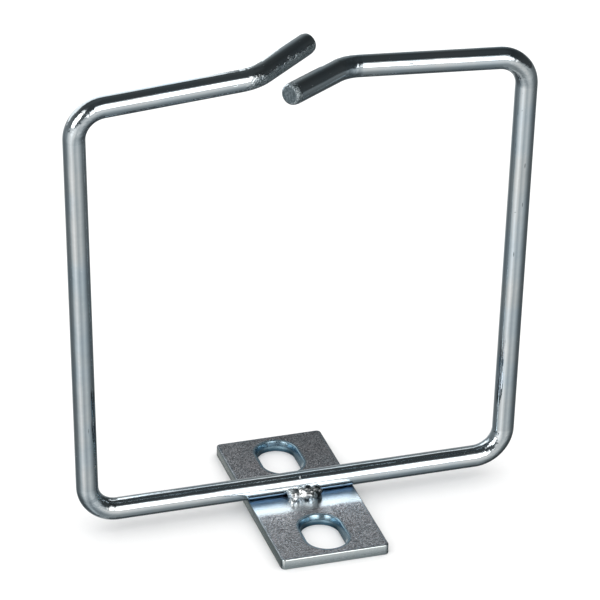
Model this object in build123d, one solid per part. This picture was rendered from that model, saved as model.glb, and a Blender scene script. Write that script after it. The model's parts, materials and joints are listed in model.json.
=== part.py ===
from build123d import *
import os
from math import cos, radians, sin, tan

# Cable routing ring: a round rod bent into an open, nearly square ring that stands on edge,
# welded across a small flat plate with two screw slots.
# Frame: origin at the centre of the plate's underside, +Z up, X along the ring's bottom bar,
# Y along the plate. Millimetres and degrees.

# Rod and ring
ROD_D = 4.0                # round steel rod
RING_W = 78.2              # bottom bar, between the corner points of the rod's axis
RING_H = 80.2              # from the bottom bar's axis up to the top corner points
SIDE_FLARE = 1.5           # each side leans outwards by this much
ARM_RISE = 4.0             # each top arm climbs towards the middle by this much
BEND_R = 5.6               # corner bends, to the rod's axis
RING_SHIFT_X = -0.5        # the ring is welded on a little off the plate's centre
RING_SHIFT_Y = 1.0

# Tips of the two top arms, bent out of the ring's plane in opposite directions
TIP_TURN = 37.0            # turn out of the ring's plane
TIP_BEND_R = 8.0           # bend radius, to the rod's axis
LEFT_BEND_X = -8.75        # where each arm turns, from the ring's centre
RIGHT_BEND_X = 7.5
LEFT_TIP = 15.7            # from the bend's corner point to the cut end
RIGHT_TIP = 16.4
TIP_CHAMFER = 0.35         # deburred rim of each cut end

# Mounting plate
PLATE_W = 20.0
PLATE_L = 42.0
PLATE_T = 2.0
PLATE_CORNER_R = 0.8
SLOT_W = 7.0
SLOT_L = 11.0
SLOT_PITCH = 27.0
SLOT_RIM = 0.25            # broken upper edge of each slot

# Weld bead, a row of overlapping puddles in the corner in front of the rod
BEAD_Y = -2.15             # puddle centres, from the rod's axis
BEAD_Z = 0.55              # puddle centres, above the plate
BEAD_PUDDLES = ((-1.1, 1.4), (0.8, 1.7), (2.5, 1.45))    # place along the bar, radius

BAR_Z = PLATE_T + ROD_D / 2
LEFT, RIGHT = -1, 1
ON_FACE = (Align.CENTER, Align.CENTER, Align.MIN)


def bottom_corner(side):
    """Corner point of the rod's axis at one end of the bottom bar."""
    return Vector(RING_SHIFT_X + side * RING_W / 2, RING_SHIFT_Y, BAR_Z)


def top_corner(side):
    """Corner point of the rod's axis at the top of one side."""
    lean = RING_H * tan(radians(SIDE_FLARE))
    return bottom_corner(side) + Vector(side * lean, 0, RING_H)


def arm_direction(side):
    """Unit vector along a top arm, from its corner towards the middle."""
    return Vector(-side * cos(radians(ARM_RISE)), 0, sin(radians(ARM_RISE)))


def tip_bend(side):
    """Corner point of the rod's axis where an arm turns out of the ring's plane."""
    bend_x = RING_SHIFT_X + (LEFT_BEND_X if side == LEFT else RIGHT_BEND_X)
    corner, along = top_corner(side), arm_direction(side)
    return corner + along * ((bend_x - corner.X) / along.X)


def tip_end(side):
    """Centre of the cut end: the left tip points to the back, the right one to the front."""
    length = LEFT_TIP if side == LEFT else RIGHT_TIP
    sideways = Vector(0, -side, 0)
    turn = radians(TIP_TURN)
    return tip_bend(side) + (arm_direction(side) * cos(turn) + sideways * sin(turn)) * length


def wire_ring():
    """One rod, swept from the left tip around the ring to the right tip."""
    left_half = [tip_end(LEFT), tip_bend(LEFT), top_corner(LEFT), bottom_corner(LEFT)]
    right_half = [bottom_corner(RIGHT), top_corner(RIGHT), tip_bend(RIGHT), tip_end(RIGHT)]
    bends = [TIP_BEND_R, BEND_R, BEND_R, BEND_R, BEND_R, TIP_BEND_R]
    axis = FilletPolyline(*left_half, *right_half, radius=bends)
    section = Plane(origin=axis @ 0, z_dir=axis % 0) * Circle(ROD_D / 2)
    rod = sweep(section, path=axis)
    cut_rims = rod.faces().filter_by(GeomType.PLANE).edges()
    return chamfer(cut_rims, TIP_CHAMFER)


def mounting_plate():
    """Flat plate with two slots in a line along Y."""
    plate = Box(PLATE_W, PLATE_L, PLATE_T, align=ON_FACE)
    plate = fillet(plate.edges().filter_by(Axis.Z), PLATE_CORNER_R)
    slot = extrude(Plane.XY * SlotOverall(SLOT_L, SLOT_W, rotation=90), PLATE_T)
    for end in (-1, 1):
        plate -= Pos(0, end * SLOT_PITCH / 2, 0) * slot
    upper_rims = plate.faces().sort_by(Axis.Z)[-1].inner_wires().edges()
    return chamfer(upper_rims, SLOT_RIM)


def weld_bead(rod):
    """Bead in the corner in front of the rod, shaped to the rod and the plate that it joins."""
    row = Pos(RING_SHIFT_X, RING_SHIFT_Y + BEAD_Y, PLATE_T + BEAD_Z)
    bead = Part() + [row * Pos(along, 0, 0) * Sphere(radius) for along, radius in BEAD_PUDDLES]
    above_plate = Pos(0, 0, PLATE_T) * Box(PLATE_W, PLATE_L, ROD_D, align=ON_FACE)
    return (bead & above_plate) - rod


def main():
    os.makedirs("parts", exist_ok=True)
    rod = wire_ring()
    export_step(rod, "parts/wire_ring.step")
    export_step(mounting_plate(), "parts/mounting_plate.step")
    export_step(weld_bead(rod), "parts/weld_bead.step")


main()
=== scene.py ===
import json
import math

import bmesh
import bpy
from mathutils import Euler, Matrix, Vector, noise


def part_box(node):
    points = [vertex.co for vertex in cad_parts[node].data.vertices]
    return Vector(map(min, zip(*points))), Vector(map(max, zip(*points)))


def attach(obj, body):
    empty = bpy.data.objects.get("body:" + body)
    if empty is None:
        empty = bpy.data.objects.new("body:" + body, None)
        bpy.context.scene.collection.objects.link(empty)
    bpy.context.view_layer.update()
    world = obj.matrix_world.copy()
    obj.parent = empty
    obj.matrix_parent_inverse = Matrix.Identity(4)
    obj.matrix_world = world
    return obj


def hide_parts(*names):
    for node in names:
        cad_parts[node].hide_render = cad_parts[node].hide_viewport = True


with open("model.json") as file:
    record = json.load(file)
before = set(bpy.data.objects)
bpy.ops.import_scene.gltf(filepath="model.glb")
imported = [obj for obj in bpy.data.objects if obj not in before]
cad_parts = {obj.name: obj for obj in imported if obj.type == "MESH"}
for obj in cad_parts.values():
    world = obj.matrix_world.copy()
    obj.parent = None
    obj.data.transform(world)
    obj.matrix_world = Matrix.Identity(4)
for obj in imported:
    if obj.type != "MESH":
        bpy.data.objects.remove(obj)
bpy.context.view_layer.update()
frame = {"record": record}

bl_info = {
    "name": "Cable routing ring",
    "version": (1, 0, 0),
    "blender": (4, 5, 0),
    "location": "3D View > Sidebar > Cable ring",
    "description": "Builds a zinc plated cable routing ring: bent rod, slotted plate and weld bead",
    "category": "Object",
}

MM = 0.001
PLATE_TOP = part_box("mounting_plate")[1].z
SCREW_SLOTS = next(m["dims"] for m in frame["record"]["mounts"] if m["name"] == "screw_slots")
LEFT, RIGHT = -1, 1

# Kinds of size, as a property's subtype and unit
LENGTH = {"subtype": "DISTANCE", "unit": "LENGTH"}
ANGLE = {"subtype": "ANGLE", "unit": "ROTATION"}

# Settings of often used nodes
MIX_COLOUR = {"data_type": "RGBA"}
MIX_NUMBER = {"data_type": "FLOAT"}
SMOOTH_STEP = {"interpolation_type": "SMOOTHSTEP"}


# ---------------------------------------------------------------- shared helpers


def linear_colour(hex_colour):
    """An sRGB hex colour as linear red, green, blue and an alpha of 1."""
    digits = hex_colour.lstrip("#")
    channels = [int(digits[i : i + 2], 16) / 255 for i in (0, 2, 4)]
    return [c / 12.92 if c <= 0.04045 else ((c + 0.055) / 1.055) ** 2.4 for c in channels] + [1.0]


def add_node(tree, kind, settings=None, inputs=None):
    """Add one node, set its properties, and set or link its inputs by name or number."""
    made = tree.nodes.new(kind)
    for name, value in (settings or {}).items():
        setattr(made, name, value)
    for name, value in (inputs or {}).items():
        if isinstance(value, bpy.types.NodeSocket):
            tree.links.new(value, made.inputs[name])
        else:
            made.inputs[name].default_value = value
    return made


def set_stops(ramp_node, stops, low=0.0, high=1.0):
    """Give a Color Ramp that runs from low to high its stops: (position, colour) pairs, a grey
    level or a hex colour each."""
    elements = ramp_node.color_ramp.elements
    while len(elements) < len(stops):
        elements.new(0.5)
    for element, (position, colour) in zip(elements, stops):
        element.position = (position - low) / (high - low)
        is_hex = isinstance(colour, str)
        element.color = linear_colour(colour) if is_hex else (colour, colour, colour, 1.0)


def new_material(name, place_attribute=None):
    """An empty material, its node tree, and each point's place in millimetres. The place is the
    point's Object coordinates, or an attribute that follows the surface."""
    material = bpy.data.materials.new(name)
    material.use_nodes = True
    tree = material.node_tree
    tree.nodes.clear()
    if place_attribute:
        place = add_node(tree, "ShaderNodeAttribute", {"attribute_name": place_attribute})
        point = place.outputs["Vector"]
    else:
        point = add_node(tree, "ShaderNodeTexCoord").outputs["Object"]
    in_mm = add_node(tree, "ShaderNodeVectorMath", {"operation": "SCALE"}, {0: point, "Scale": 1 / MM})
    return material, tree, in_mm.outputs["Vector"]


def finish_material(material, inputs):
    """Close a material with its Principled shader, which has these inputs."""
    tree = material.node_tree
    shader = add_node(tree, "ShaderNodeBsdfPrincipled", inputs=inputs)
    add_node(tree, "ShaderNodeOutputMaterial", inputs={"Surface": shader.outputs["BSDF"]})
    return material


def span(low, high, at_low=0.0, at_high=1.0):
    """A Map Range's inputs: the range it reads, and what it gives at both ends."""
    return {"From Min": low, "From Max": high, "To Min": at_low, "To Max": at_high}


def new_piece(name, bm, materials):
    """Turn a finished bmesh into a smooth-shaded object at the origin."""
    mesh = bpy.data.meshes.new(name)
    bm.to_mesh(mesh)
    bm.free()
    for material in materials:
        mesh.materials.append(material)
    mesh.shade_smooth()
    mesh.set_sharp_from_angle(angle=math.radians(40))
    piece = bpy.data.objects.new(name, mesh)
    bpy.context.scene.collection.objects.link(piece)
    return piece


def verts_of(geometry):
    return [g for g in geometry if isinstance(g, bmesh.types.BMVert)]


def edges_of(geometry):
    return [g for g in geometry if isinstance(g, bmesh.types.BMEdge)]


# ---------------------------------------------------------------- sizes and colours


class RodSettings(bpy.types.PropertyGroup):
    """Sizes and colours of the bent rod."""

    diameter: bpy.props.FloatProperty(
        name="Rod diameter", description="Round steel rod", default=4.0 * MM, **LENGTH)
    width: bpy.props.FloatProperty(
        name="Ring width", description="Bottom bar between the axis corner points",
        default=78.2 * MM, **LENGTH)
    height: bpy.props.FloatProperty(
        name="Ring height", description="Bottom bar's axis to the top corner points",
        default=80.2 * MM, **LENGTH)
    flare: bpy.props.FloatProperty(
        name="Side flare", description="How far each side leans outwards",
        default=math.radians(1.5), **ANGLE)
    arm_rise: bpy.props.FloatProperty(
        name="Arm rise", description="How far each top arm climbs towards the middle",
        default=math.radians(4.0), **ANGLE)
    bend_radius: bpy.props.FloatProperty(
        name="Corner bend", description="Radius of the four corner bends, to the axis",
        default=5.6 * MM, **LENGTH)
    tip_bend_radius: bpy.props.FloatProperty(
        name="Tip bend", description="Radius of the two tip bends, to the axis",
        default=8.0 * MM, **LENGTH)
    tip_turn: bpy.props.FloatProperty(
        name="Tip turn", description="How far each tip turns out of the ring's plane",
        default=math.radians(37.0), **ANGLE)
    left_bend: bpy.props.FloatProperty(
        name="Left tip bend", description="Place of the left tip's bend, from the ring's centre",
        default=-8.75 * MM, **LENGTH)
    right_bend: bpy.props.FloatProperty(
        name="Right tip bend", description="Place of the right tip's bend, from the ring's centre",
        default=7.5 * MM, **LENGTH)
    left_tip: bpy.props.FloatProperty(
        name="Left tip", description="From the bend's corner point to the cut end",
        default=15.7 * MM, **LENGTH)
    right_tip: bpy.props.FloatProperty(
        name="Right tip", description="From the bend's corner point to the cut end",
        default=16.4 * MM, **LENGTH)
    rim: bpy.props.FloatProperty(
        name="Cut rim", description="Deburred rim of each cut end",
        default=0.3 * MM, **LENGTH)
    shift: bpy.props.FloatVectorProperty(
        name="Ring shift", description="Ring's middle plane and centre, from the plate's centre",
        size=2, default=(-0.5 * MM, 1.0 * MM), subtype="XYZ", unit="LENGTH")
    sides: bpy.props.IntProperty(
        name="Sides", description="Faces around the rod", default=64, min=16, max=128)
    zinc: bpy.props.StringProperty(
        name="Zinc colour", description="sRGB hex colour of the bright zinc", default="#D3DCE1")
    passivate: bpy.props.StringProperty(
        name="Passivate tint", description="sRGB hex colour where the blue passivate is thicker",
        default="#C6D6E1")


class PlateSettings(bpy.types.PropertyGroup):
    """Sizes and colours of the slotted plate."""

    width: bpy.props.FloatProperty(
        name="Plate width", description="Across the slots", default=20.0 * MM, **LENGTH)
    length: bpy.props.FloatProperty(
        name="Plate length", description="Along the slots", default=42.0 * MM, **LENGTH)
    thickness: bpy.props.FloatProperty(
        name="Plate thickness", description="Steel sheet", default=2.0 * MM, **LENGTH)
    corner: bpy.props.FloatProperty(
        name="Corner radius", description="Rounded corners of the blank",
        default=0.8 * MM, **LENGTH)
    slot_width: bpy.props.FloatProperty(
        name="Slot width", description="Across a slot", default=2 * SCREW_SLOTS["hole_r_mm"] * MM,
        **LENGTH)
    slot_length: bpy.props.FloatProperty(
        name="Slot length", description="Along a slot, end to end",
        default=SCREW_SLOTS["slot_length_mm"] * MM, **LENGTH)
    slot_pitch: bpy.props.FloatProperty(
        name="Slot pitch", description="Between the slots' centres",
        default=SCREW_SLOTS["spacing_y_mm"] * MM, **LENGTH)
    outer_roll: bpy.props.FloatProperty(
        name="Outer edge roll", description="Rounding that shearing leaves on the upper edge",
        default=0.22 * MM, **LENGTH)
    slot_roll: bpy.props.FloatProperty(
        name="Slot edge roll", description="Rounding that punching leaves on the slots' upper edge",
        default=0.20 * MM, **LENGTH)
    slot_taper: bpy.props.FloatProperty(
        name="Slot taper", description="How far punching draws each slot's mouth open",
        default=0.32 * MM, **LENGTH)
    grey: bpy.props.StringProperty(
        name="Sheet colour", description="sRGB hex colour of the plated sheet", default="#D0D8DE")
    tint: bpy.props.StringProperty(
        name="Edge tint", description="sRGB hex colour of the plating on rims and edges", default="#9DB9C9")


class WeldSettings(bpy.types.PropertyGroup):
    """Size and colour of the weld bead."""

    crumple: bpy.props.FloatProperty(
        name="Crumple", description="Height of the folds on the frozen puddles",
        default=0.22 * MM, **LENGTH)
    colour: bpy.props.StringProperty(
        name="Bead colour", description="sRGB hex colour of the plated bead", default="#E4EAED")


class StageSettings(bpy.types.PropertyGroup):
    """Camera and floor."""

    azimuth: bpy.props.FloatProperty(
        name="Camera azimuth", description="Around the ring, from its front",
        default=math.radians(-17.567), **ANGLE)
    elevation: bpy.props.FloatProperty(
        name="Camera elevation", description="Above the floor",
        default=math.radians(28.849), **ANGLE)
    roll: bpy.props.FloatProperty(
        name="Camera roll", description="Turn about the line of sight",
        default=math.radians(0.927), **ANGLE)
    distance: bpy.props.FloatProperty(
        name="Camera distance", description="From the point it aims at",
        default=844.18 * MM, **LENGTH)
    aim: bpy.props.FloatVectorProperty(
        name="Camera aim", description="Point in the middle of the view",
        default=(-0.506 * MM, 1.0 * MM, 41.565 * MM), subtype="XYZ", unit="LENGTH")
    lens: bpy.props.FloatProperty(
        name="Lens", description="Focal length on a 36 mm sensor", default=285.9, unit="CAMERA")
    floor: bpy.props.StringProperty(
        name="Floor colour", description="sRGB hex colour of the floor", default="#F3F3F3")


# ---------------------------------------------------------------- materials


def bright_zinc_on_rod(zinc, passivate):
    """Bright zinc plate with a clear blue passivate, on cold drawn steel rod.

    Nearly a mirror. Drawing leaves fine lines along the rod, plating a faint orange peel and
    pin holes, handling a few nicks, and the bending rolls leave the bends uneven.
    """
    material, tree, mm = new_material("bright_zinc_on_drawn_rod", "straight_rod")
    marks = add_node(tree, "ShaderNodeAttribute", {"attribute_name": "bend_marks"})
    sandy = add_node(tree, "ShaderNodeAttribute", {"attribute_name": "sandy_skin"})

    # Draw lines: 0.45 mm apart around the rod with finer ones between, and 15 mm long
    line_space = add_node(tree, "ShaderNodeVectorMath", {"operation": "MULTIPLY"},
                          {0: mm, 1: (1.0, 1.0, 0.03)})
    lines = add_node(tree, "ShaderNodeTexNoise", inputs={
        "Vector": line_space.outputs[0], "Scale": 2.2, "Detail": 3.0, "Roughness": 0.6})
    # Orange peel of the plating, about 1.1 mm
    peel = add_node(tree, "ShaderNodeTexNoise", inputs={"Vector": mm, "Scale": 0.9, "Detail": 3.0})
    # Slow waves left by straightening, about 7 mm long
    wave_space = add_node(tree, "ShaderNodeVectorMath", {"operation": "MULTIPLY"},
                          {0: mm, 1: (0.30, 0.30, 0.14)})
    waves = add_node(tree, "ShaderNodeTexNoise", inputs={
        "Vector": wave_space.outputs[0], "Scale": 1.0, "Detail": 1.5})
    # Roller marks in the bends, about 1.6 mm
    dents = add_node(tree, "ShaderNodeTexNoise", inputs={"Vector": mm, "Scale": 0.62, "Detail": 4.0})
    dent_depth = add_node(tree, "ShaderNodeMath", {"operation": "MULTIPLY"},
                          {0: dents.outputs["Fac"], 1: marks.outputs["Fac"]})
    # Pin holes in the plating, up to 0.3 mm across and a few millimetres apart
    pit_cells = add_node(tree, "ShaderNodeTexVoronoi", inputs={"Vector": mm, "Scale": 1.15})
    pit_luck = add_node(tree, "ShaderNodeSeparateColor", inputs={"Color": pit_cells.outputs["Color"]})
    pit_size = add_node(tree, "ShaderNodeMapRange", inputs={
        "Value": pit_luck.outputs[0], **span(0.8, 1.0, 0.001, 0.16)})
    pits = add_node(tree, "ShaderNodeMapRange", SMOOTH_STEP, {
        "Value": pit_cells.outputs["Distance"], **span(0.0, pit_size.outputs["Result"], 1.0, 0.0)})
    # Nicks from handling, about 1 mm long and slanting
    nick_space = add_node(tree, "ShaderNodeMapping", inputs={
        "Vector": mm, "Rotation": (0.5, 0.35, 0.2), "Scale": (0.8, 0.8, 0.14)})
    nick_cells = add_node(tree, "ShaderNodeTexVoronoi", inputs={
        "Vector": nick_space.outputs[0], "Scale": 0.8})
    nicks = add_node(tree, "ShaderNodeMapRange", SMOOTH_STEP, {
        "Value": nick_cells.outputs["Distance"], **span(0.02, 0.07, 1.0, 0.0)})
    damage = add_node(tree, "ShaderNodeMath", {"operation": "MAXIMUM"},
                      {0: pits.outputs["Result"], 1: nicks.outputs["Result"]})

    # Sandy skin on the tips: grains of 0.2 mm, coarser than real ones so that they show
    grains = add_node(tree, "ShaderNodeTexNoise", inputs={
        "Vector": mm, "Scale": 5.0, "Detail": 1.0, "Roughness": 0.6})
    patchy = add_node(tree, "ShaderNodeMath", {"operation": "MULTIPLY_ADD"},
                      {0: peel.outputs["Fac"], 1: 0.6, 2: -0.3})
    sandy_share = add_node(tree, "ShaderNodeMath", {"operation": "ADD"},
                           {0: sandy.outputs["Fac"], 1: patchy.outputs[0]})
    sand_mask = add_node(tree, "ShaderNodeMapRange", SMOOTH_STEP, {
        "Value": sandy_share.outputs[0], **span(0.17, 0.42)})
    sand = add_node(tree, "ShaderNodeMath", {"operation": "MULTIPLY"},
                    {0: grains.outputs["Fac"], 1: sand_mask.outputs["Result"]})

    # Relief, one layer over the other: its pattern, its height in millimetres, and sunk or raised
    relief = {}
    for pattern, height, sunk in (
            (waves.outputs["Fac"], 0.07, False), (dent_depth.outputs[0], 0.13, False),
            (peel.outputs["Fac"], 0.012, False), (lines.outputs["Fac"], 0.012, False),
            (sand.outputs[0], 0.22, False), (damage.outputs[0], 0.03, True)):
        bump = add_node(tree, "ShaderNodeBump", {"invert": sunk}, {
            "Height": pattern, "Distance": height * MM, "Strength": 1.0, **relief})
        relief = {"Normal": bump.outputs[0]}

    # Colour: patches of thicker passivate, about 9 mm
    patches = add_node(tree, "ShaderNodeTexNoise", inputs={"Vector": mm, "Scale": 0.11, "Detail": 2.0})
    patch_share = add_node(tree, "ShaderNodeMapRange", inputs={
        "Value": patches.outputs["Fac"], **span(0.38, 0.66)})
    plating = add_node(tree, "ShaderNodeMix", MIX_COLOUR, {
        0: patch_share.outputs["Result"], 6: linear_colour(zinc), 7: linear_colour(passivate)})
    # Painted reflection: a blue tint low on the rod over the plate, where the rod mirrors the plate
    body = add_node(tree, "ShaderNodeTexCoord")
    body_axes = add_node(tree, "ShaderNodeSeparateXYZ", inputs={"Vector": body.outputs["Object"]})
    low = add_node(tree, "ShaderNodeMapRange", SMOOTH_STEP, {
        "Value": body_axes.outputs["Z"], **span(2.2 * MM, 3.8 * MM, 1.0, 0.0)})
    sideways = add_node(tree, "ShaderNodeMath", {"operation": "ABSOLUTE"}, {0: body_axes.outputs["X"]})
    over_plate = add_node(tree, "ShaderNodeMapRange", SMOOTH_STEP, {
        "Value": sideways.outputs[0], **span(9.5 * MM, 12.0 * MM, 0.9, 0.0)})
    drained = add_node(tree, "ShaderNodeMath", {"operation": "MULTIPLY"},
                       {0: low.outputs["Result"], 1: over_plate.outputs["Result"]})
    sand_tone = add_node(tree, "ShaderNodeValToRGB", inputs={"Fac": grains.outputs["Fac"]})
    set_stops(sand_tone, [(0.38, "#5F6D74"), (0.62, "#CAD8DF")])
    tone = plating.outputs[2]
    for share, colour in (
            # Painted blue reflection of the plate, low on the rod
            (drained.outputs[0], linear_colour("#A9BDCE")),
            (sand_mask.outputs["Result"], sand_tone.outputs["Color"]),
            (damage.outputs[0], linear_colour("#8D979C"))):
        layer = add_node(tree, "ShaderNodeMix", MIX_COLOUR, {0: share, 6: tone, 7: colour})
        tone = layer.outputs[2]

    # Roughness: least between the draw lines, more on them, most in the sand and the damage
    satin = add_node(tree, "ShaderNodeMapRange", inputs={
        "Value": lines.outputs["Fac"], **span(0.35, 0.75, 0.055, 0.13)})
    roughness = satin.outputs["Result"]
    for share, dull in ((sand_mask.outputs["Result"], 0.42), (damage.outputs[0], 0.4)):
        layer = add_node(tree, "ShaderNodeMix", MIX_NUMBER, {0: share, 2: roughness, 3: dull})
        roughness = layer.outputs[0]

    return finish_material(material, {
        "Metallic": 1.0, "Base Color": tone, "Roughness": roughness, **relief})


def zinc_on_sheared_end():
    """Zinc plate over the sheared end of the rod: torn steel, dull slate grey with fine ridges."""
    material, tree, mm = new_material("zinc_on_sheared_rod_end")
    # Torn grain, about 0.35 mm, broken up by finer grain
    grain = add_node(tree, "ShaderNodeTexNoise", inputs={
        "Vector": mm, "Scale": 2.8, "Detail": 4.0, "Roughness": 0.65})
    bump = add_node(tree, "ShaderNodeBump", inputs={
        "Height": grain.outputs["Fac"], "Distance": 0.12 * MM, "Strength": 1.0})
    tone = add_node(tree, "ShaderNodeValToRGB", inputs={"Fac": grain.outputs["Fac"]})
    set_stops(tone, [(0.35, "#5A6870"), (0.68, "#94A3AB")])
    return finish_material(material, {
        "Metallic": 1.0, "Base Color": tone.outputs["Color"], "Roughness": 0.38, "Normal": bump.outputs[0]})


def zinc_on_rolled_sheet(grey, tint, rod_y):
    """Zinc plate on hot rolled steel sheet.

    An even sparkling grain, dark grey with brown and violet hints. It is smoother and bluish
    where the punch has rolled the edge over, and smooth in front of the rod, where the welding
    electrode pressed it. rod_y is the rod's place along the plate, in millimetres.
    """
    material, tree, mm = new_material("zinc_on_rolled_sheet")
    rim = add_node(tree, "ShaderNodeAttribute", {"attribute_name": "rolled_edge"})
    axes = add_node(tree, "ShaderNodeSeparateXYZ", inputs={"Vector": mm})
    before_rod = add_node(tree, "ShaderNodeMath", {"operation": "SUBTRACT"},
                          {0: rod_y, 1: axes.outputs["Y"]})
    in_front = add_node(tree, "ShaderNodeMath", {"operation": "GREATER_THAN"},
                        {0: before_rod.outputs[0], 1: -1.0})

    # Grain of the pickled sheet and plating crystals on it, each a little different. Both are
    # drawn at 0.2 mm, coarser than real ones so that they show
    grain = add_node(tree, "ShaderNodeTexNoise", inputs={
        "Vector": mm, "Scale": 5.2, "Detail": 2.0, "Roughness": 0.7})
    crystals = add_node(tree, "ShaderNodeTexVoronoi", inputs={"Vector": mm, "Scale": 5.0})
    crystal_luck = add_node(tree, "ShaderNodeSeparateColor", inputs={"Color": crystals.outputs["Color"]})
    # Cloudy tone of the sheet, about 4.5 mm
    clouds = add_node(tree, "ShaderNodeTexNoise", inputs={"Vector": mm, "Scale": 0.22, "Detail": 3.0})

    # Skin pressed smooth, to about 6.5 mm in front of the rod's axis, and a painted blue reflection near
    # the rod
    wander = add_node(tree, "ShaderNodeMath", {"operation": "MULTIPLY_ADD"},
                      {0: clouds.outputs["Fac"], 1: 1.6, 2: before_rod.outputs[0]})
    pressed = add_node(tree, "ShaderNodeMapRange", SMOOTH_STEP, {
        "Value": wander.outputs[0], **span(6.9, 7.9, 1.0, 0.0)})
    pressed_skin = add_node(tree, "ShaderNodeMath", {"operation": "MULTIPLY"},
                            {0: in_front.outputs[0], 1: pressed.outputs["Result"]})
    drained = add_node(tree, "ShaderNodeMapRange", SMOOTH_STEP, {
        "Value": before_rod.outputs[0], **span(2.4, 4.6, 0.9, 0.0)})
    blued_skin = add_node(tree, "ShaderNodeMath", {"operation": "MULTIPLY"},
                          {0: in_front.outputs[0], 1: drained.outputs["Result"]})

    # The front half leans 2.5 degrees towards the rod, pulled up as the weld shrank, and from
    # 13 mm in front of the rod it curls up a little more
    past_slot = add_node(tree, "ShaderNodeMath", {"operation": "SUBTRACT"},
                         {0: before_rod.outputs[0], 1: 13.0})
    curl = add_node(tree, "ShaderNodeMath", {"operation": "MAXIMUM"}, {0: past_slot.outputs[0], 1: 0.0})
    curl_square = add_node(tree, "ShaderNodeMath", {"operation": "POWER"}, {0: curl.outputs[0], 1: 2.0})
    pulled = add_node(tree, "ShaderNodeMath", {"operation": "MULTIPLY_ADD"},
                      {0: curl_square.outputs[0], 1: 0.09, 2: before_rod.outputs[0]})
    reach = add_node(tree, "ShaderNodeMapRange", inputs={"Value": pulled.outputs[0], **span(0.0, 40.0)})
    lean = add_node(tree, "ShaderNodeBump", inputs={
        "Height": reach.outputs["Result"], "Distance": 1.75 * MM, "Strength": 1.0})

    # Relief of the grain, all but gone on the smooth skin
    relief = add_node(tree, "ShaderNodeMix", MIX_NUMBER, {
        0: 0.4, 2: grain.outputs["Fac"], 3: crystal_luck.outputs[0]})
    smooth_skin = add_node(tree, "ShaderNodeMath", {"operation": "MAXIMUM"},
                           {0: rim.outputs["Fac"], 1: pressed_skin.outputs[0]})
    relief_depth = add_node(tree, "ShaderNodeMapRange", inputs={
        "Value": smooth_skin.outputs[0], **span(0.0, 1.0, 1.0, 0.03)})
    bump = add_node(tree, "ShaderNodeBump", inputs={
        "Height": relief.outputs[0], "Distance": 0.06 * MM,
        "Strength": relief_depth.outputs["Result"], "Normal": lean.outputs[0]})

    # Colour: the sheet's own, then the rims, the pressed skin and a painted blue reflection near the rod
    # over it
    pale_tone = add_node(tree, "ShaderNodeMix", MIX_COLOUR, {
        0: clouds.outputs["Fac"], 6: linear_colour(grey), 7: linear_colour("#D6CFD2")})
    dark_tone = add_node(tree, "ShaderNodeMix", MIX_COLOUR, {
        0: crystal_luck.outputs[1], 6: linear_colour("#7D777A"), 7: linear_colour("#72808A")})
    grain_share = add_node(tree, "ShaderNodeMapRange", inputs={
        "Value": relief.outputs[0], **span(0.30, 0.62)})
    sheet_tone = add_node(tree, "ShaderNodeMix", MIX_COLOUR, {
        0: grain_share.outputs["Result"], 6: dark_tone.outputs[2], 7: pale_tone.outputs[2]})
    tone = sheet_tone.outputs[2]
    for share, colour in ((rim.outputs["Fac"], tint), (pressed_skin.outputs[0], "#DCE4EA"),
                          # Painted blue reflection close in front of the rod
                          (blued_skin.outputs[0], "#B9C8D5")):
        layer = add_node(tree, "ShaderNodeMix", MIX_COLOUR, {0: share, 6: tone, 7: linear_colour(colour)})
        tone = layer.outputs[2]

    # Roughness: each crystal has its own, the rims and the pressed skin are even
    crystal_gloss = add_node(tree, "ShaderNodeMapRange", inputs={
        "Value": crystal_luck.outputs[2], **span(0.0, 1.0, 0.15, 0.24)})
    roughness = crystal_gloss.outputs["Result"]
    for share, even in ((rim.outputs["Fac"], 0.24), (pressed_skin.outputs[0], 0.27)):
        layer = add_node(tree, "ShaderNodeMix", MIX_NUMBER, {0: share, 2: roughness, 3: even})
        roughness = layer.outputs[0]

    return finish_material(material, {
        "Metallic": 1.0, "Base Color": tone, "Roughness": roughness, "Normal": bump.outputs[0]})


def zinc_on_cut_edge(name, burnished_colour, torn_colour):
    """Zinc plate on a cut sheet edge: drag lines run across the thickness, torn near the foot. The colours
    given for the slot walls and the long sides carry painted shade.
    """
    material, tree, mm = new_material(name)
    # Drag lines, about 0.4 mm apart
    drag_space = add_node(tree, "ShaderNodeVectorMath", {"operation": "MULTIPLY"},
                          {0: mm, 1: (1.0, 1.0, 0.22)})
    drag = add_node(tree, "ShaderNodeTexNoise", inputs={
        "Vector": drag_space.outputs[0], "Scale": 2.6, "Detail": 4.0, "Roughness": 0.6})
    # Torn lower third of the cut, where the sheet broke instead of being cut: grain of 0.3 mm
    axes = add_node(tree, "ShaderNodeSeparateXYZ", inputs={"Vector": mm})
    tear_edge = add_node(tree, "ShaderNodeMath", {"operation": "MULTIPLY_ADD"},
                         {0: drag.outputs["Fac"], 1: 0.7, 2: 0.3})
    torn = add_node(tree, "ShaderNodeMath", {"operation": "LESS_THAN"},
                    {0: axes.outputs["Z"], 1: tear_edge.outputs[0]})
    tear = add_node(tree, "ShaderNodeTexNoise", inputs={
        "Vector": mm, "Scale": 3.5, "Detail": 4.0, "Roughness": 0.7})
    relief = add_node(tree, "ShaderNodeMix", MIX_NUMBER, {
        0: torn.outputs[0], 2: drag.outputs["Fac"], 3: tear.outputs["Fac"]})
    bump = add_node(tree, "ShaderNodeBump", inputs={
        "Height": relief.outputs[0], "Distance": 0.035 * MM, "Strength": 1.0})
    tone = add_node(tree, "ShaderNodeMix", MIX_COLOUR, {
        0: torn.outputs[0], 6: linear_colour(burnished_colour), 7: linear_colour(torn_colour)})
    roughness = add_node(tree, "ShaderNodeMix", MIX_NUMBER, {0: torn.outputs[0], 2: 0.2, 3: 0.36})
    return finish_material(material, {
        "Metallic": 1.0, "Base Color": tone.outputs[2],
        "Roughness": roughness.outputs[0], "Normal": bump.outputs[0]})


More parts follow.
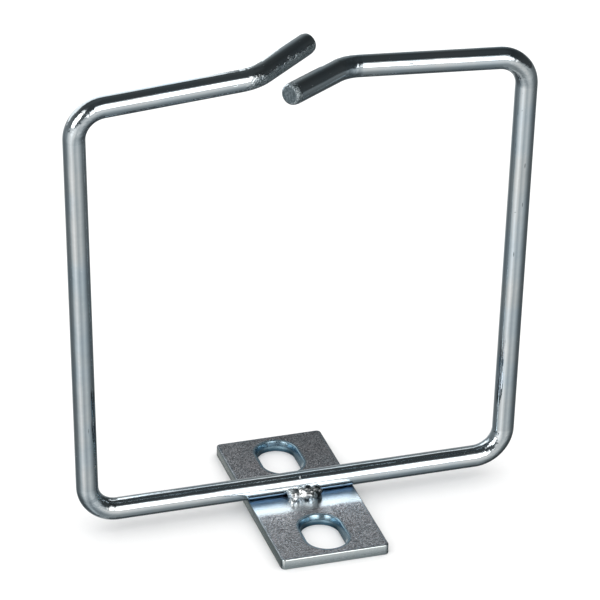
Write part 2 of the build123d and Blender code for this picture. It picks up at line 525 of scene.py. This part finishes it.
def zinc_on_weld(colour):
    """Zinc plate over a frozen weld puddle: bright crests, dull darker pores, dark blots, and painted shade
    that grows towards the right.
    """
    material, tree, mm = new_material("zinc_on_weld_bead")
    # Scale and pores, about 0.3 mm
    pores = add_node(tree, "ShaderNodeTexNoise", inputs={
        "Vector": mm, "Scale": 3.0, "Detail": 3.0, "Roughness": 0.6})
    bump = add_node(tree, "ShaderNodeBump", inputs={
        "Height": pores.outputs["Fac"], "Distance": 0.05 * MM, "Strength": 1.0})
    tone = add_node(tree, "ShaderNodeValToRGB", inputs={"Fac": pores.outputs["Fac"]})
    set_stops(tone, [(0.30, "#98A1A5"), (0.50, colour)])
    # Dark blots in patches of about 1.3 mm, and painted shade that grows towards the bead's right side
    axes = add_node(tree, "ShaderNodeSeparateXYZ", inputs={"Vector": mm})
    blots = add_node(tree, "ShaderNodeTexNoise", inputs={"Vector": mm, "Scale": 0.75, "Detail": 2.0})
    drift = add_node(tree, "ShaderNodeMath", {"operation": "MULTIPLY_ADD"},
                     {0: axes.outputs["X"], 1: 0.05, 2: blots.outputs["Fac"]})
    soot = add_node(tree, "ShaderNodeMapRange", SMOOTH_STEP, {
        "Value": drift.outputs[0], **span(0.54, 0.64)})
    sooted = add_node(tree, "ShaderNodeMix", MIX_COLOUR, {
        0: soot.outputs["Result"], 6: tone.outputs["Color"], 7: linear_colour("#4E565A")})
    roughness = add_node(tree, "ShaderNodeMapRange", inputs={
        "Value": pores.outputs["Fac"], **span(0.3, 0.6, 0.4, 0.25)})
    return finish_material(material, {
        "Metallic": 1.0, "Base Color": sooted.outputs[2],
        "Roughness": roughness.outputs["Result"], "Normal": bump.outputs[0]})


def pale_floor(colour):
    """Matt painted board: even, pale, with a barely visible roller texture of about 1 mm."""
    material, tree, mm = new_material("matt_painted_board")
    roller = add_node(tree, "ShaderNodeTexNoise", inputs={"Vector": mm, "Scale": 0.9, "Detail": 2.0})
    bump = add_node(tree, "ShaderNodeBump", inputs={
        "Height": roller.outputs["Fac"], "Distance": 0.02 * MM, "Strength": 1.0})
    return finish_material(material, {
        "Base Color": linear_colour(colour), "Roughness": 0.9,
        "Specular IOR Level": 0.0, "Normal": bump.outputs[0]})


# ---------------------------------------------------------------- wire ring

SKIN, CUT = range(2)  # the rod's materials, in order
STEP = 3.0 * MM  # between the rings of a straight
BEND_STEPS = 24
PINCHED = 1.5 * MM  # of each end, where the shear has pinched the rod
PINCHED_STEPS = 4
PINCH = 0.13  # share of its radius that the very end has lost
SANDY = 18.5 * MM  # of the left tip, from its cut end round the bend
SANDY_FADE = 3.0 * MM  # the last part of that
SANDY_RIM = 1.6 * MM  # of the right tip, at its cut end
CAP_RINGS = (0.06, 0.3, 0.35, 0.35)  # millimetres between the rings of a cut face, from its rim
TORN = 0.08 * MM  # relief of a cut face


def rod_corners(rod):
    """Corner points of the rod's axis, from the left tip's cut end round to the right tip's."""
    shift_x, shift_y = rod.shift
    bar_z = PLATE_TOP + rod.diameter / 2

    def side_points(side):
        bottom = Vector((shift_x + side * rod.width / 2, shift_y, bar_z))
        top = bottom + Vector((side * rod.height * math.tan(rod.flare), 0, rod.height))
        along = Vector((-side * math.cos(rod.arm_rise), 0, math.sin(rod.arm_rise)))
        bend_x = shift_x + (rod.left_bend if side == LEFT else rod.right_bend)
        bend = top + along * ((bend_x - top.x) / along.x)
        out = along * math.cos(rod.tip_turn) + Vector((0, -side, 0)) * math.sin(rod.tip_turn)
        tip = bend + out * (rod.left_tip if side == LEFT else rod.right_tip)
        return [tip, bend, top, bottom]

    return side_points(LEFT) + side_points(RIGHT)[::-1]


def push_rod(bm, rim, way, count, place):
    """Draw the open end of the rod straight on along this way, in equal steps."""
    step = way / count
    for _ in range(count):
        made = bmesh.ops.extrude_edge_only(bm, edges=rim)["geom"]
        ring = verts_of(made)
        bmesh.ops.translate(bm, verts=ring, vec=step)
        for vert in ring:
            vert[place].z += step.length
        rim = [e for e in edges_of(made) if all(v in ring for v in e.verts)]
    return rim


def bend_rod(bm, rim, centre, axis, angle, radius, place, marks):
    """Turn the open end of the rod round a bend, in equal steps."""
    for number in range(BEND_STEPS):
        made = bmesh.ops.spin(
            bm, geom=rim, cent=centre, axis=axis, dvec=(0, 0, 0), angle=angle / BEND_STEPS,
            steps=1, use_merge=False, use_normal_flip=False, use_duplicate=False)["geom_last"]
        for vert in verts_of(made):
            vert[place].z += radius * angle / BEND_STEPS
            vert[marks] = min(1.0, math.sin(math.pi * (number + 1) / BEND_STEPS) * 1.6)
        rim = edges_of(made)
    return rim


def draw_rod(bm, rod, corners, headings, place, marks):
    """Draw a round section along the straights and spin it round the six bends. Gives the open
    rims at its two ends."""
    runs = [b - a for a, b in zip(corners, corners[1:])]
    radii = [rod.tip_bend_radius] + [rod.bend_radius] * 4 + [rod.tip_bend_radius]
    turns = [a.angle(b) for a, b in zip(headings, headings[1:])]
    cut_backs = [0.0] + [r * math.tan(t / 2) for r, t in zip(radii, turns)] + [0.0]

    section = bmesh.ops.create_circle(
        bm, cap_ends=False, radius=rod.diameter / 2, segments=rod.sides)["verts"]
    for vert in section:
        vert[place] = vert.co
    facing = headings[0].to_track_quat("Z", "Y").to_matrix().to_4x4()
    bmesh.ops.transform(bm, matrix=Matrix.Translation(corners[0]) @ facing, verts=section)

    first_rim = rim = list(bm.edges)
    for number, (run, heading) in enumerate(zip(runs, headings)):
        is_first, is_last = number == 0, number == len(turns)
        straight = run.length - cut_backs[number] - cut_backs[number + 1]
        middle = straight - (PINCHED if is_first or is_last else 0.0)
        if is_first:
            rim = push_rod(bm, rim, heading * PINCHED, PINCHED_STEPS, place)
        rim = push_rod(bm, rim, heading * middle, max(2, round(middle / STEP)), place)
        if is_last:
            return first_rim, push_rod(bm, rim, heading * PINCHED, PINCHED_STEPS, place)
        axis = heading.cross(headings[number + 1]).normalized()
        bend_start = corners[number + 1] - heading * cut_backs[number + 1]
        centre = bend_start + axis.cross(heading) * radii[number]
        rim = bend_rod(bm, rim, centre, axis, turns[number], radii[number], place, marks)


def left_axis_height(corners, along):
    """Height of the rod's axis, this far from the left tip's cut end."""
    tip, bend, top = corners[:3]
    first = (bend - tip).length
    if along < first:
        return tip.lerp(bend, along / first).z
    return bend.lerp(top, (along - first) / (top - bend).length).z


def wear_ends(bm, rod, corners, headings, place, sandy):
    """Pinch the ends as the shear does, and mark the sandy skin under the left tip and round the
    right tip's end."""
    total = max(v[place].z for v in bm.verts)
    for vert in bm.verts:
        from_left = vert[place].z
        from_right = total - from_left
        for end_point, inwards, depth in (
                (corners[0], headings[0], from_left), (corners[-1], -headings[-1], from_right)):
            if depth < PINCHED:
                axis_point = end_point + inwards * depth
                kept = 1 - PINCH * (1 - depth / PINCHED) ** 2
                vert.co = axis_point + (vert.co - axis_point) * kept
        if from_left < SANDY:
            above_axis = vert.co.z - left_axis_height(corners, from_left)
            lowness = min(max(0.5 - above_axis / rod.diameter, 0), 1)
            vert[sandy] = lowness * min(1.0, (SANDY - from_left) / SANDY_FADE)
        elif from_right < SANDY_RIM and vert.co.x > corners[-1].x:
            vert[sandy] = 0.5 * (1 - from_right / SANDY_RIM) ** 0.5


def build_wire_ring(rod):
    """One bent rod with two sheared, deburred ends."""
    bm = bmesh.new()
    place = bm.verts.layers.float_vector.new("straight_rod")
    marks = bm.verts.layers.float.new("bend_marks")
    sandy = bm.verts.layers.float.new("sandy_skin")
    corners = rod_corners(rod)
    headings = [(b - a).normalized() for a, b in zip(corners, corners[1:])]
    rims = draw_rod(bm, rod, corners, headings, place, marks)
    wear_ends(bm, rod, corners, headings, place, sandy)

    cut_ends = [bmesh.ops.contextual_create(bm, geom=rim)["faces"][0] for rim in rims]
    for cap in cut_ends:
        cap.material_index = CUT
    bmesh.ops.recalc_face_normals(bm, faces=bm.faces)
    for cap in cut_ends:
        deburred = bmesh.ops.bevel(
            bm, geom=list(cap.edges), offset=rod.rim, offset_type="OFFSET", segments=3,
            profile=0.5, affect="EDGES", material=-1)["faces"]
        for face in deburred:
            face.material_index = SKIN
    for cap in [f for f in bm.faces if len(f.verts) == rod.sides]:
        face_verts = set(cap.verts)
        for thickness in CAP_RINGS:
            bmesh.ops.inset_region(bm, faces=[cap], thickness=thickness * MM, use_even_offset=True)
            face_verts.update(cap.verts)
        for vert in face_verts:
            vert.co += cap.normal * noise.noise(vert.co * 1300) * TORN
    return bm


# ---------------------------------------------------------------- plate

SHEET, SHEARED, PUNCHED, SLIT = range(4)  # the plate's materials, in order
SLOT_SIDES = 56  # faces round a slot's two ends
THROAT = 0.75 * MM  # depth of the slots' drawn-open mouths
LOWER_ROLL = 0.12 * MM  # rounding left on the lower edges
RIM_RINGS = (0.08 * MM, 0.35 * MM)  # rings inside the rims, which keep their tint narrow
OUTER_TINT = 0.25  # share of the rims' tint on the outer and lower edges
SAME_HEIGHT = 1e-6


def stamp_loops(bm, plate):
    """Outline of the blank and of its two slots, as closed loops of edges on the floor."""
    blank = bmesh.ops.create_grid(bm, x_segments=1, y_segments=1, size=0.5)["verts"]
    bmesh.ops.scale(bm, vec=(plate.width, plate.length, 1), verts=blank)
    bmesh.ops.bevel(
        bm, geom=blank, offset=plate.corner, offset_type="OFFSET", segments=6,
        profile=0.5, affect="VERTICES", material=-1)
    bmesh.ops.delete(bm, geom=list(bm.faces), context="FACES_ONLY")
    half_step = Matrix.Rotation(math.pi / SLOT_SIDES, 4, "Z")
    stretch = (plate.slot_length - plate.slot_width) / 2
    for end in (-1, 1):
        ring = bmesh.ops.create_circle(
            bm, cap_ends=False, radius=plate.slot_width / 2, segments=SLOT_SIDES,
            matrix=half_step)["verts"]
        for half in (-1, 1):
            bmesh.ops.translate(
                bm, verts=[v for v in ring if v.co.y * half > 0], vec=(0, half * stretch, 0))
        bmesh.ops.translate(bm, verts=ring, vec=(0, end * plate.slot_pitch / 2, 0))


def from_slot(plate, point):
    """The level way to a point from the nearest place on the nearer slot's centre line."""
    reach = (plate.slot_length - plate.slot_width) / 2
    slot_y = math.copysign(plate.slot_pitch / 2, point.y)
    along = min(max(point.y, slot_y - reach), slot_y + reach)
    return Vector((point.x, point.y, 0)) - Vector((0, along, 0))


def is_at_slot(plate, point):
    """Whether a point is on a slot's wall or mouth, and not out on the blank's edge."""
    return from_slot(plate, point).length < plate.slot_width * 0.6


def open_slot_mouths(bm, plate, rolled):
    """Draw the upper part of each slot's wall outwards, as a worn punch does."""
    top = plate.thickness
    throat = top - THROAT
    walls = [f for f in bm.faces if abs(f.normal.z) < 0.5 and is_at_slot(plate, f.calc_center_median())]
    around = [e for f in walls for e in f.edges] + [v for f in walls for v in f.verts]
    for wall in walls:
        wall.material_index = PUNCHED
    bmesh.ops.bisect_plane(
        bm, geom=walls + list(dict.fromkeys(around)), plane_co=(0, 0, throat), plane_no=(0, 0, 1))
    for face in bm.faces:
        if face.material_index == PUNCHED and face.calc_center_median().z > throat:
            face.material_index = SHEET
            for vert in face.verts:
                vert[rolled] = 1.0
    for vert in bm.verts:
        if abs(vert.co.z - top) < SAME_HEIGHT and is_at_slot(plate, vert.co):
            vert.co += from_slot(plate, vert.co).normalized() * plate.slot_taper


def rims_at(bm, plate, z, at_slots):
    """Sharp edges at this height: those round the slots, or those round the blank."""
    level = [e for e in bm.edges if all(abs(v.co.z - z) < SAME_HEIGHT for v in e.verts)]
    sharp = [e for e in level if e.calc_face_angle(0) > 0.7]
    return [e for e in sharp if at_slots == all(is_at_slot(plate, v.co) for v in e.verts)]


def roll_edges(bm, edges, size, segments, rolled, tinted):
    """Round these edges and mark the rounded skin for the smoother plating on it."""
    made = bmesh.ops.bevel(
        bm, geom=edges, offset=size, offset_type="OFFSET", segments=segments,
        profile=0.5, affect="EDGES", material=-1)
    for face in made["faces"]:
        for vert in face.verts:
            vert[rolled] = tinted


def build_plate(plate):
    """Flat blank with two slots, punched from above: rolled upper edges, crisp lower ones."""
    bm = bmesh.new()
    rolled = bm.verts.layers.float.new("rolled_edge")
    stamp_loops(bm, plate)
    bmesh.ops.triangle_fill(bm, use_beauty=True, use_dissolve=False, edges=list(bm.edges),
                            normal=(0, 0, 1))
    top = plate.thickness
    raised = bmesh.ops.extrude_face_region(bm, geom=list(bm.faces))["geom"]
    bmesh.ops.translate(bm, verts=verts_of(raised), vec=(0, 0, top))
    bmesh.ops.recalc_face_normals(bm, faces=bm.faces)
    for face in bm.faces:
        is_side = abs(face.normal.z) < 0.5
        face.material_index = (SLIT if abs(face.normal.x) > 0.9 else SHEARED) if is_side else SHEET

    open_slot_mouths(bm, plate, rolled)
    roll_edges(bm, rims_at(bm, plate, top, True), plate.slot_roll, 5, rolled, 1.0)
    roll_edges(bm, rims_at(bm, plate, top, False), plate.outer_roll, 4, rolled, OUTER_TINT)
    lower = rims_at(bm, plate, 0.0, True) + rims_at(bm, plate, 0.0, False)
    roll_edges(bm, lower, LOWER_ROLL, 2, rolled, OUTER_TINT)
    for z in (top, 0.0):
        flat = [f for f in bm.faces if abs(f.normal.z) > 0.999
                and abs(f.calc_center_median().z - z) < SAME_HEIGHT]
        for thickness in RIM_RINGS:
            bmesh.ops.inset_region(bm, faces=flat, thickness=thickness, use_even_offset=True)
        for face in flat:
            for vert in face.verts:
                vert[rolled] = 0.0
    return bm


# ---------------------------------------------------------------- weld bead

PUDDLES = ((-1.8, 1.3), (-0.6, 1.3), (0.6, 1.5), (1.8, 1.4))  # place along the rod, radius, in mm
SINK = 0.06 * MM  # how far the bead reaches into the rod and the plate


def spatter(ring_x, ring_y, rod_radius):
    """Drops frozen on the rod above the bead and on the plate to its left: place, radius in mm."""
    up_rod = 0.95  # radians round the rod from its foremost line
    on_rod = Vector((ring_x + 0.2 * MM, ring_y - rod_radius * math.cos(up_rod),
                     PLATE_TOP + rod_radius + rod_radius * math.sin(up_rod)))
    beside = Vector((ring_x - 1.9 * MM, ring_y - 3.3 * MM, PLATE_TOP - 0.1 * MM))
    farther = Vector((ring_x - 2.3 * MM, ring_y - 4.6 * MM, PLATE_TOP))
    return (on_rod, 0.20), (beside, 0.62), (farther, 0.20)


def build_weld(weld, rod):
    """Four frozen puddles run together in the corner in front of the rod, and some spatter."""
    bm = bmesh.new()
    ring_x, ring_y = rod.shift
    radius = rod.diameter / 2
    axis_z = PLATE_TOP + radius
    centre = Vector((ring_x + 0.7 * MM, ring_y - 2.15 * MM, PLATE_TOP + 0.72 * MM))
    puddles = [(Vector((x * MM, 0, 0)), size * MM) for x, size in PUDDLES]
    ball = bmesh.ops.create_icosphere(bm, subdivisions=6, radius=1.0)["verts"]
    for vert in ball:
        ray = vert.co.normalized()
        reach = 0.0
        for offset, size in puddles:
            along = ray.dot(offset)
            inside = along * along - offset.length_squared + size * size
            if inside > 0:
                reach = max(reach, along + math.sqrt(inside))
        spot = ray * reach
        # Folds of 0.9 mm, ripples of 0.4 mm and creases of 1.2 mm
        folds = noise.noise(spot * 1150 + Vector((3.1, 0.7, 5.2)))
        ripples = noise.noise(spot * 2600 + Vector((7.3, 1.9, 4.4)))
        creases = abs(noise.noise(spot * 800 + Vector((1.7, 6.1, 2.8))))
        reach += weld.crumple * (folds * 1.2 + ripples * 0.35 + (0.3 - creases) * 0.7)
        vert.co = centre + ray * reach
    for spot, size in spatter(ring_x, ring_y, radius):
        drop = bmesh.ops.create_icosphere(bm, subdivisions=3, radius=size * MM)["verts"]
        for vert in drop:
            vert.co = spot + vert.co * (1 + 0.5 * noise.noise(vert.co * 3000 + spot * 1000))
    # Sit it all down: a hair inside the plate and the rod
    for vert in bm.verts:
        vert.co.z = max(vert.co.z, PLATE_TOP - SINK)
        arm = Vector((0, vert.co.y - ring_y, vert.co.z - axis_z))
        if arm.length < radius - SINK:
            arm = arm.normalized() * (radius - SINK)
            vert.co.y, vert.co.z = ring_y + arm.y, axis_z + arm.z
    bmesh.ops.recalc_face_normals(bm, faces=bm.faces)
    return bm


# ---------------------------------------------------------------- operators


class CABLERING_OT_bend_rod(bpy.types.Operator):
    """Bend the rod into the open ring and cut its two tips"""

    bl_idname = "cablering.bend_rod"
    bl_label = "Wire ring"

    def execute(self, context):
        rod = context.scene.cable_ring_rod
        materials = [bright_zinc_on_rod(rod.zinc, rod.passivate), zinc_on_sheared_end()]
        piece = new_piece("plated_wire_ring", build_wire_ring(rod), materials)
        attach(piece, "root")
        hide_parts("wire_ring")
        return {"FINISHED"}


class CABLERING_OT_punch_plate(bpy.types.Operator):
    """Punch the mounting plate and its two slots"""

    bl_idname = "cablering.punch_plate"
    bl_label = "Mounting plate"

    def execute(self, context):
        plate = context.scene.cable_ring_plate
        rod_y = context.scene.cable_ring_rod.shift[1] / MM
        materials = [
            zinc_on_rolled_sheet(plate.grey, plate.tint, rod_y),
            zinc_on_cut_edge("zinc_on_sheared_edge", "#CDD8DC", "#BCC8CC"),
            # Slot walls below the throat: coloured darker and bluer, painted shade inside the slots
            zinc_on_cut_edge("zinc_on_punched_wall_painted_shade", "#7C9BAD", "#55778C"),
            # Long sides: the same cut edge, coloured darker as painted shade on the plate's side faces
            zinc_on_cut_edge("zinc_on_slit_edge_painted_shade", "#8E9C9D", "#7D8A8B")]
        piece = new_piece("plated_mounting_plate", build_plate(plate), materials)
        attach(piece, "root")
        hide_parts("mounting_plate")
        return {"FINISHED"}


class CABLERING_OT_lay_weld(bpy.types.Operator):
    """Lay the weld bead that joins the rod to the plate"""

    bl_idname = "cablering.lay_weld"
    bl_label = "Weld bead"

    def execute(self, context):
        weld = context.scene.cable_ring_weld
        rod = context.scene.cable_ring_rod
        piece = new_piece("plated_weld_bead", build_weld(weld, rod), [zinc_on_weld(weld.colour)])
        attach(piece, "root")
        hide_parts("weld_bead")
        return {"FINISHED"}


class CABLERING_OT_set_stage(bpy.types.Operator):
    """Set up the floor, the studio light and the camera"""

    bl_idname = "cablering.set_stage"
    bl_label = "Floor, light and camera"

    def execute(self, context):
        stage = context.scene.cable_ring_stage
        lay_floor(stage.floor)
        light_studio(context.scene)
        place_camera(context.scene, stage)
        return {"FINISHED"}


# ---------------------------------------------------------------- stage

FLOOR_RADIUS = 6.0
SOFT_BOX = 4.5  # brightness of the big soft box, where white paper is 1
CARD_LIGHT = 0.95  # brightness of the two white cards
WHITE_LIGHT = 1.3  # brightness of the even light on matt surfaces
ROUND = (-180, 180)  # degrees round from the front, towards the right
RISE = (-90, 90)  # degrees above the horizon


def lay_floor(colour):
    """A wide pale floor just under the plate."""
    bm = bmesh.new()
    bmesh.ops.create_circle(bm, cap_ends=True, cap_tris=False, radius=FLOOR_RADIUS, segments=64)
    floor = new_piece("studio_floor", bm, [pale_floor(colour)])
    floor.visible_glossy = False


def light_studio(scene):
    """White all round for matt surfaces, and the studio's soft boxes, walls and table for the
    bright plating: a big soft box in front, a dark ceiling and a grey table."""
    world = bpy.data.worlds.new("studio")
    scene.world = world
    world.use_nodes = True
    world.cycles.sampling_method = "NONE"
    tree = world.node_tree
    tree.nodes.clear()
    sight = add_node(tree, "ShaderNodeTexCoord")
    axes = add_node(tree, "ShaderNodeSeparateXYZ", inputs={"Vector": sight.outputs["Generated"]})
    forward = add_node(tree, "ShaderNodeMath", {"operation": "MULTIPLY"}, {0: axes.outputs["Y"], 1: -1.0})
    around = add_node(tree, "ShaderNodeMath", {"operation": "ARCTAN2"},
                      {0: axes.outputs["X"], 1: forward.outputs[0]})
    azimuth = add_node(tree, "ShaderNodeMapRange", inputs={
        "Value": around.outputs[0], **span(-math.pi, math.pi)})
    tilt = add_node(tree, "ShaderNodeMath", {"operation": "ARCSINE"}, {0: axes.outputs["Z"]})
    climb = add_node(tree, "ShaderNodeMapRange", inputs={
        "Value": tilt.outputs[0], **span(-math.pi / 2, math.pi / 2)})

    # How bright each part of the studio is, by degrees
    light = {}
    for part, direction, limits, stops in (
            # The table: brightest towards the soft box and the window on the left, dark to the right
            ("table_round", azimuth, ROUND, [
                (-180, 0.70), (-160, 0.25), (-130, 0.13), (-95, 0.21), (-72, 0.56), (-46, 0.92),
                (-28, 0.68), (-10, 0.43), (20, 0.57), (45, 0.34), (72, 0.14), (100, 0.09),
                (130, 0.13), (160, 0.25), (180, 0.70)]),
            ("table_down", climb, RISE, [
                (-90, 0.45), (-55, 0.34), (-40, 0.46), (-27, 0.78), (-12, 1.0)]),
            # The soft box in front, and the window
            ("box_round", azimuth, ROUND, [
                (-76, 0.0), (-70, 1.0), (-49, 1.0), (-43, 0.0), (-13, 0.0), (-3, 1.0), (19, 1.0),
                (44, 0.0)]),
            ("box_rise", climb, RISE, [
                (0, 0.12), (5, 0.5), (9, 1.0), (34, 1.0), (43, 0.30), (51, 0.03), (60, 0.012)]),
            # The walls: grey at the back, dark on the right side
            ("walls_round", azimuth, ROUND, [
                (-180, 0.40), (-165, 0.30), (-90, 0.14), (60, 0.03), (130, 0.03), (150, 0.12),
                (160, 0.26), (180, 0.40)]),
            ("walls_rise", climb, RISE, [(0, 1.0), (20, 0.95), (34, 0.50), (54, 0.10)]),
            # The dark ceiling
            ("ceiling", climb, RISE, [(42, 0.024), (62, 0.055)])):
        ramp = add_node(tree, "ShaderNodeValToRGB", inputs={"Fac": direction.outputs["Result"]})
        set_stops(ramp, stops, *limits)
        light[part] = ramp.outputs["Color"]

    table = add_node(tree, "ShaderNodeMath", {"operation": "MULTIPLY"},
                     {0: light["table_round"], 1: light["table_down"]})
    lit_table = add_node(tree, "ShaderNodeMath", {"operation": "MULTIPLY"}, {0: table.outputs[0], 1: 1.6})
    box = add_node(tree, "ShaderNodeMath", {"operation": "MULTIPLY"}, {0: light["box_rise"], 1: SOFT_BOX})
    walls = add_node(tree, "ShaderNodeMath", {"operation": "MULTIPLY_ADD"},
                     {0: light["walls_round"], 1: light["walls_rise"], 2: light["ceiling"]})
    room = add_node(tree, "ShaderNodeMix", MIX_NUMBER, {
        0: light["box_round"], 2: walls.outputs[0], 3: box.outputs[0]})
    # The table's far edge blurs into the room, from 6 degrees below the horizon to 2 above it
    above = add_node(tree, "ShaderNodeMapRange", inputs={
        "Value": climb.outputs["Result"], **span((-6 + 90) / 180, (2 + 90) / 180)})
    studio = add_node(tree, "ShaderNodeMix", MIX_NUMBER, {
        0: above.outputs["Result"], 2: lit_table.outputs[0], 3: room.outputs[0]})
    # Dim parts of the studio are a little cold, bright ones a little warm
    warmth = add_node(tree, "ShaderNodeValToRGB", inputs={"Fac": studio.outputs[0]})
    set_stops(warmth, [(0.10, "#F2FCFF"), (0.85, "#FFF9F4")])
    coloured = add_node(tree, "ShaderNodeVectorMath", {"operation": "SCALE"}, {
        0: warmth.outputs["Color"], "Scale": studio.outputs[0]})

    path = add_node(tree, "ShaderNodeLightPath")
    mirrored = add_node(tree, "ShaderNodeBackground", inputs={"Color": coloured.outputs["Vector"]})
    white = add_node(tree, "ShaderNodeBackground", inputs={
        "Color": (1.0, 1.0, 1.0, 1.0), "Strength": WHITE_LIGHT})
    choice = add_node(tree, "ShaderNodeMixShader", inputs={
        0: path.outputs["Is Glossy Ray"], 1: white.outputs[0], 2: mirrored.outputs[0]})
    add_node(tree, "ShaderNodeOutputWorld", inputs={"Surface": choice.outputs[0]})

    hang_card(scene, "back_card", (0.182, 0.108), (-0.079, 0.120, 0.1265), -75)
    hang_card(scene, "low_card", (0.092, 0.030), (0.016, 0.061, 0.071), -90)
    scene.view_settings.view_transform = "Standard"


def hang_card(scene, name, size, place, lean):
    """A white card behind the ring that only the bright plating mirrors. lean is in degrees."""
    card = bpy.data.lights.new(name, "AREA")
    card.shape = "RECTANGLE"
    card.size, card.size_y = size
    card.energy = CARD_LIGHT * math.pi * card.size * card.size_y
    hung = bpy.data.objects.new(name, card)
    hung.location = place
    hung.rotation_euler = Euler((math.radians(lean), 0, 0))
    hung.visible_diffuse = False
    hung.visible_camera = False
    scene.collection.objects.link(hung)


def place_camera(scene, stage):
    """A long lens, looking down at the ring from the front left."""
    turn, climb, roll = stage.azimuth, stage.elevation, stage.roll
    level = Vector((math.cos(turn), math.sin(turn), 0))
    towards = Vector((
        math.sin(turn) * math.cos(climb), -math.cos(turn) * math.cos(climb), math.sin(climb)))
    upright = towards.cross(level)
    right = level * math.cos(roll) + upright * math.sin(roll)
    up = upright * math.cos(roll) - level * math.sin(roll)
    camera = bpy.data.cameras.new("camera")
    camera.lens = stage.lens
    camera.sensor_width = 36.0
    camera.clip_start = 0.05
    camera.clip_end = 50.0
    camera_object = bpy.data.objects.new("camera", camera)
    placed = Matrix((right, up, towards)).transposed().to_4x4()
    placed.translation = Vector(stage.aim) + towards * stage.distance
    camera_object.matrix_world = placed
    scene.collection.objects.link(camera_object)
    scene.camera = camera_object


# ---------------------------------------------------------------- panel and registration


class CABLERING_PT_panel(bpy.types.Panel):
    """Lists the ring's pieces with their sizes"""

    bl_idname = "CABLERING_PT_panel"
    bl_label = "Cable routing ring"
    bl_space_type = "VIEW_3D"
    bl_region_type = "UI"
    bl_category = "Cable ring"

    def draw(self, context):
        for operator, settings in STEPS:
            box = self.layout.box()
            box.operator(operator.bl_idname)
            group = getattr(context.scene, settings)
            for name in group.__annotations__:
                box.prop(group, name)


STEPS = (
    (CABLERING_OT_bend_rod, "cable_ring_rod"),
    (CABLERING_OT_punch_plate, "cable_ring_plate"),
    (CABLERING_OT_lay_weld, "cable_ring_weld"),
    (CABLERING_OT_set_stage, "cable_ring_stage"),
)
SETTINGS = {
    "cable_ring_rod": RodSettings,
    "cable_ring_plate": PlateSettings,
    "cable_ring_weld": WeldSettings,
    "cable_ring_stage": StageSettings,
}


def register():
    for name, group in SETTINGS.items():
        bpy.utils.register_class(group)
        setattr(bpy.types.Scene, name, bpy.props.PointerProperty(type=group))
    for operator, _ in STEPS:
        bpy.utils.register_class(operator)
    bpy.utils.register_class(CABLERING_PT_panel)


def unregister():
    bpy.utils.unregister_class(CABLERING_PT_panel)
    for operator, _ in reversed(STEPS):
        bpy.utils.unregister_class(operator)
    for name, group in reversed(SETTINGS.items()):
        delattr(bpy.types.Scene, name)
        bpy.utils.unregister_class(group)


def main():
    register()
    bpy.ops.cablering.bend_rod()
    bpy.ops.cablering.punch_plate()
    bpy.ops.cablering.lay_weld()
    bpy.ops.cablering.set_stage()


if __name__ == "__main__":
    main()
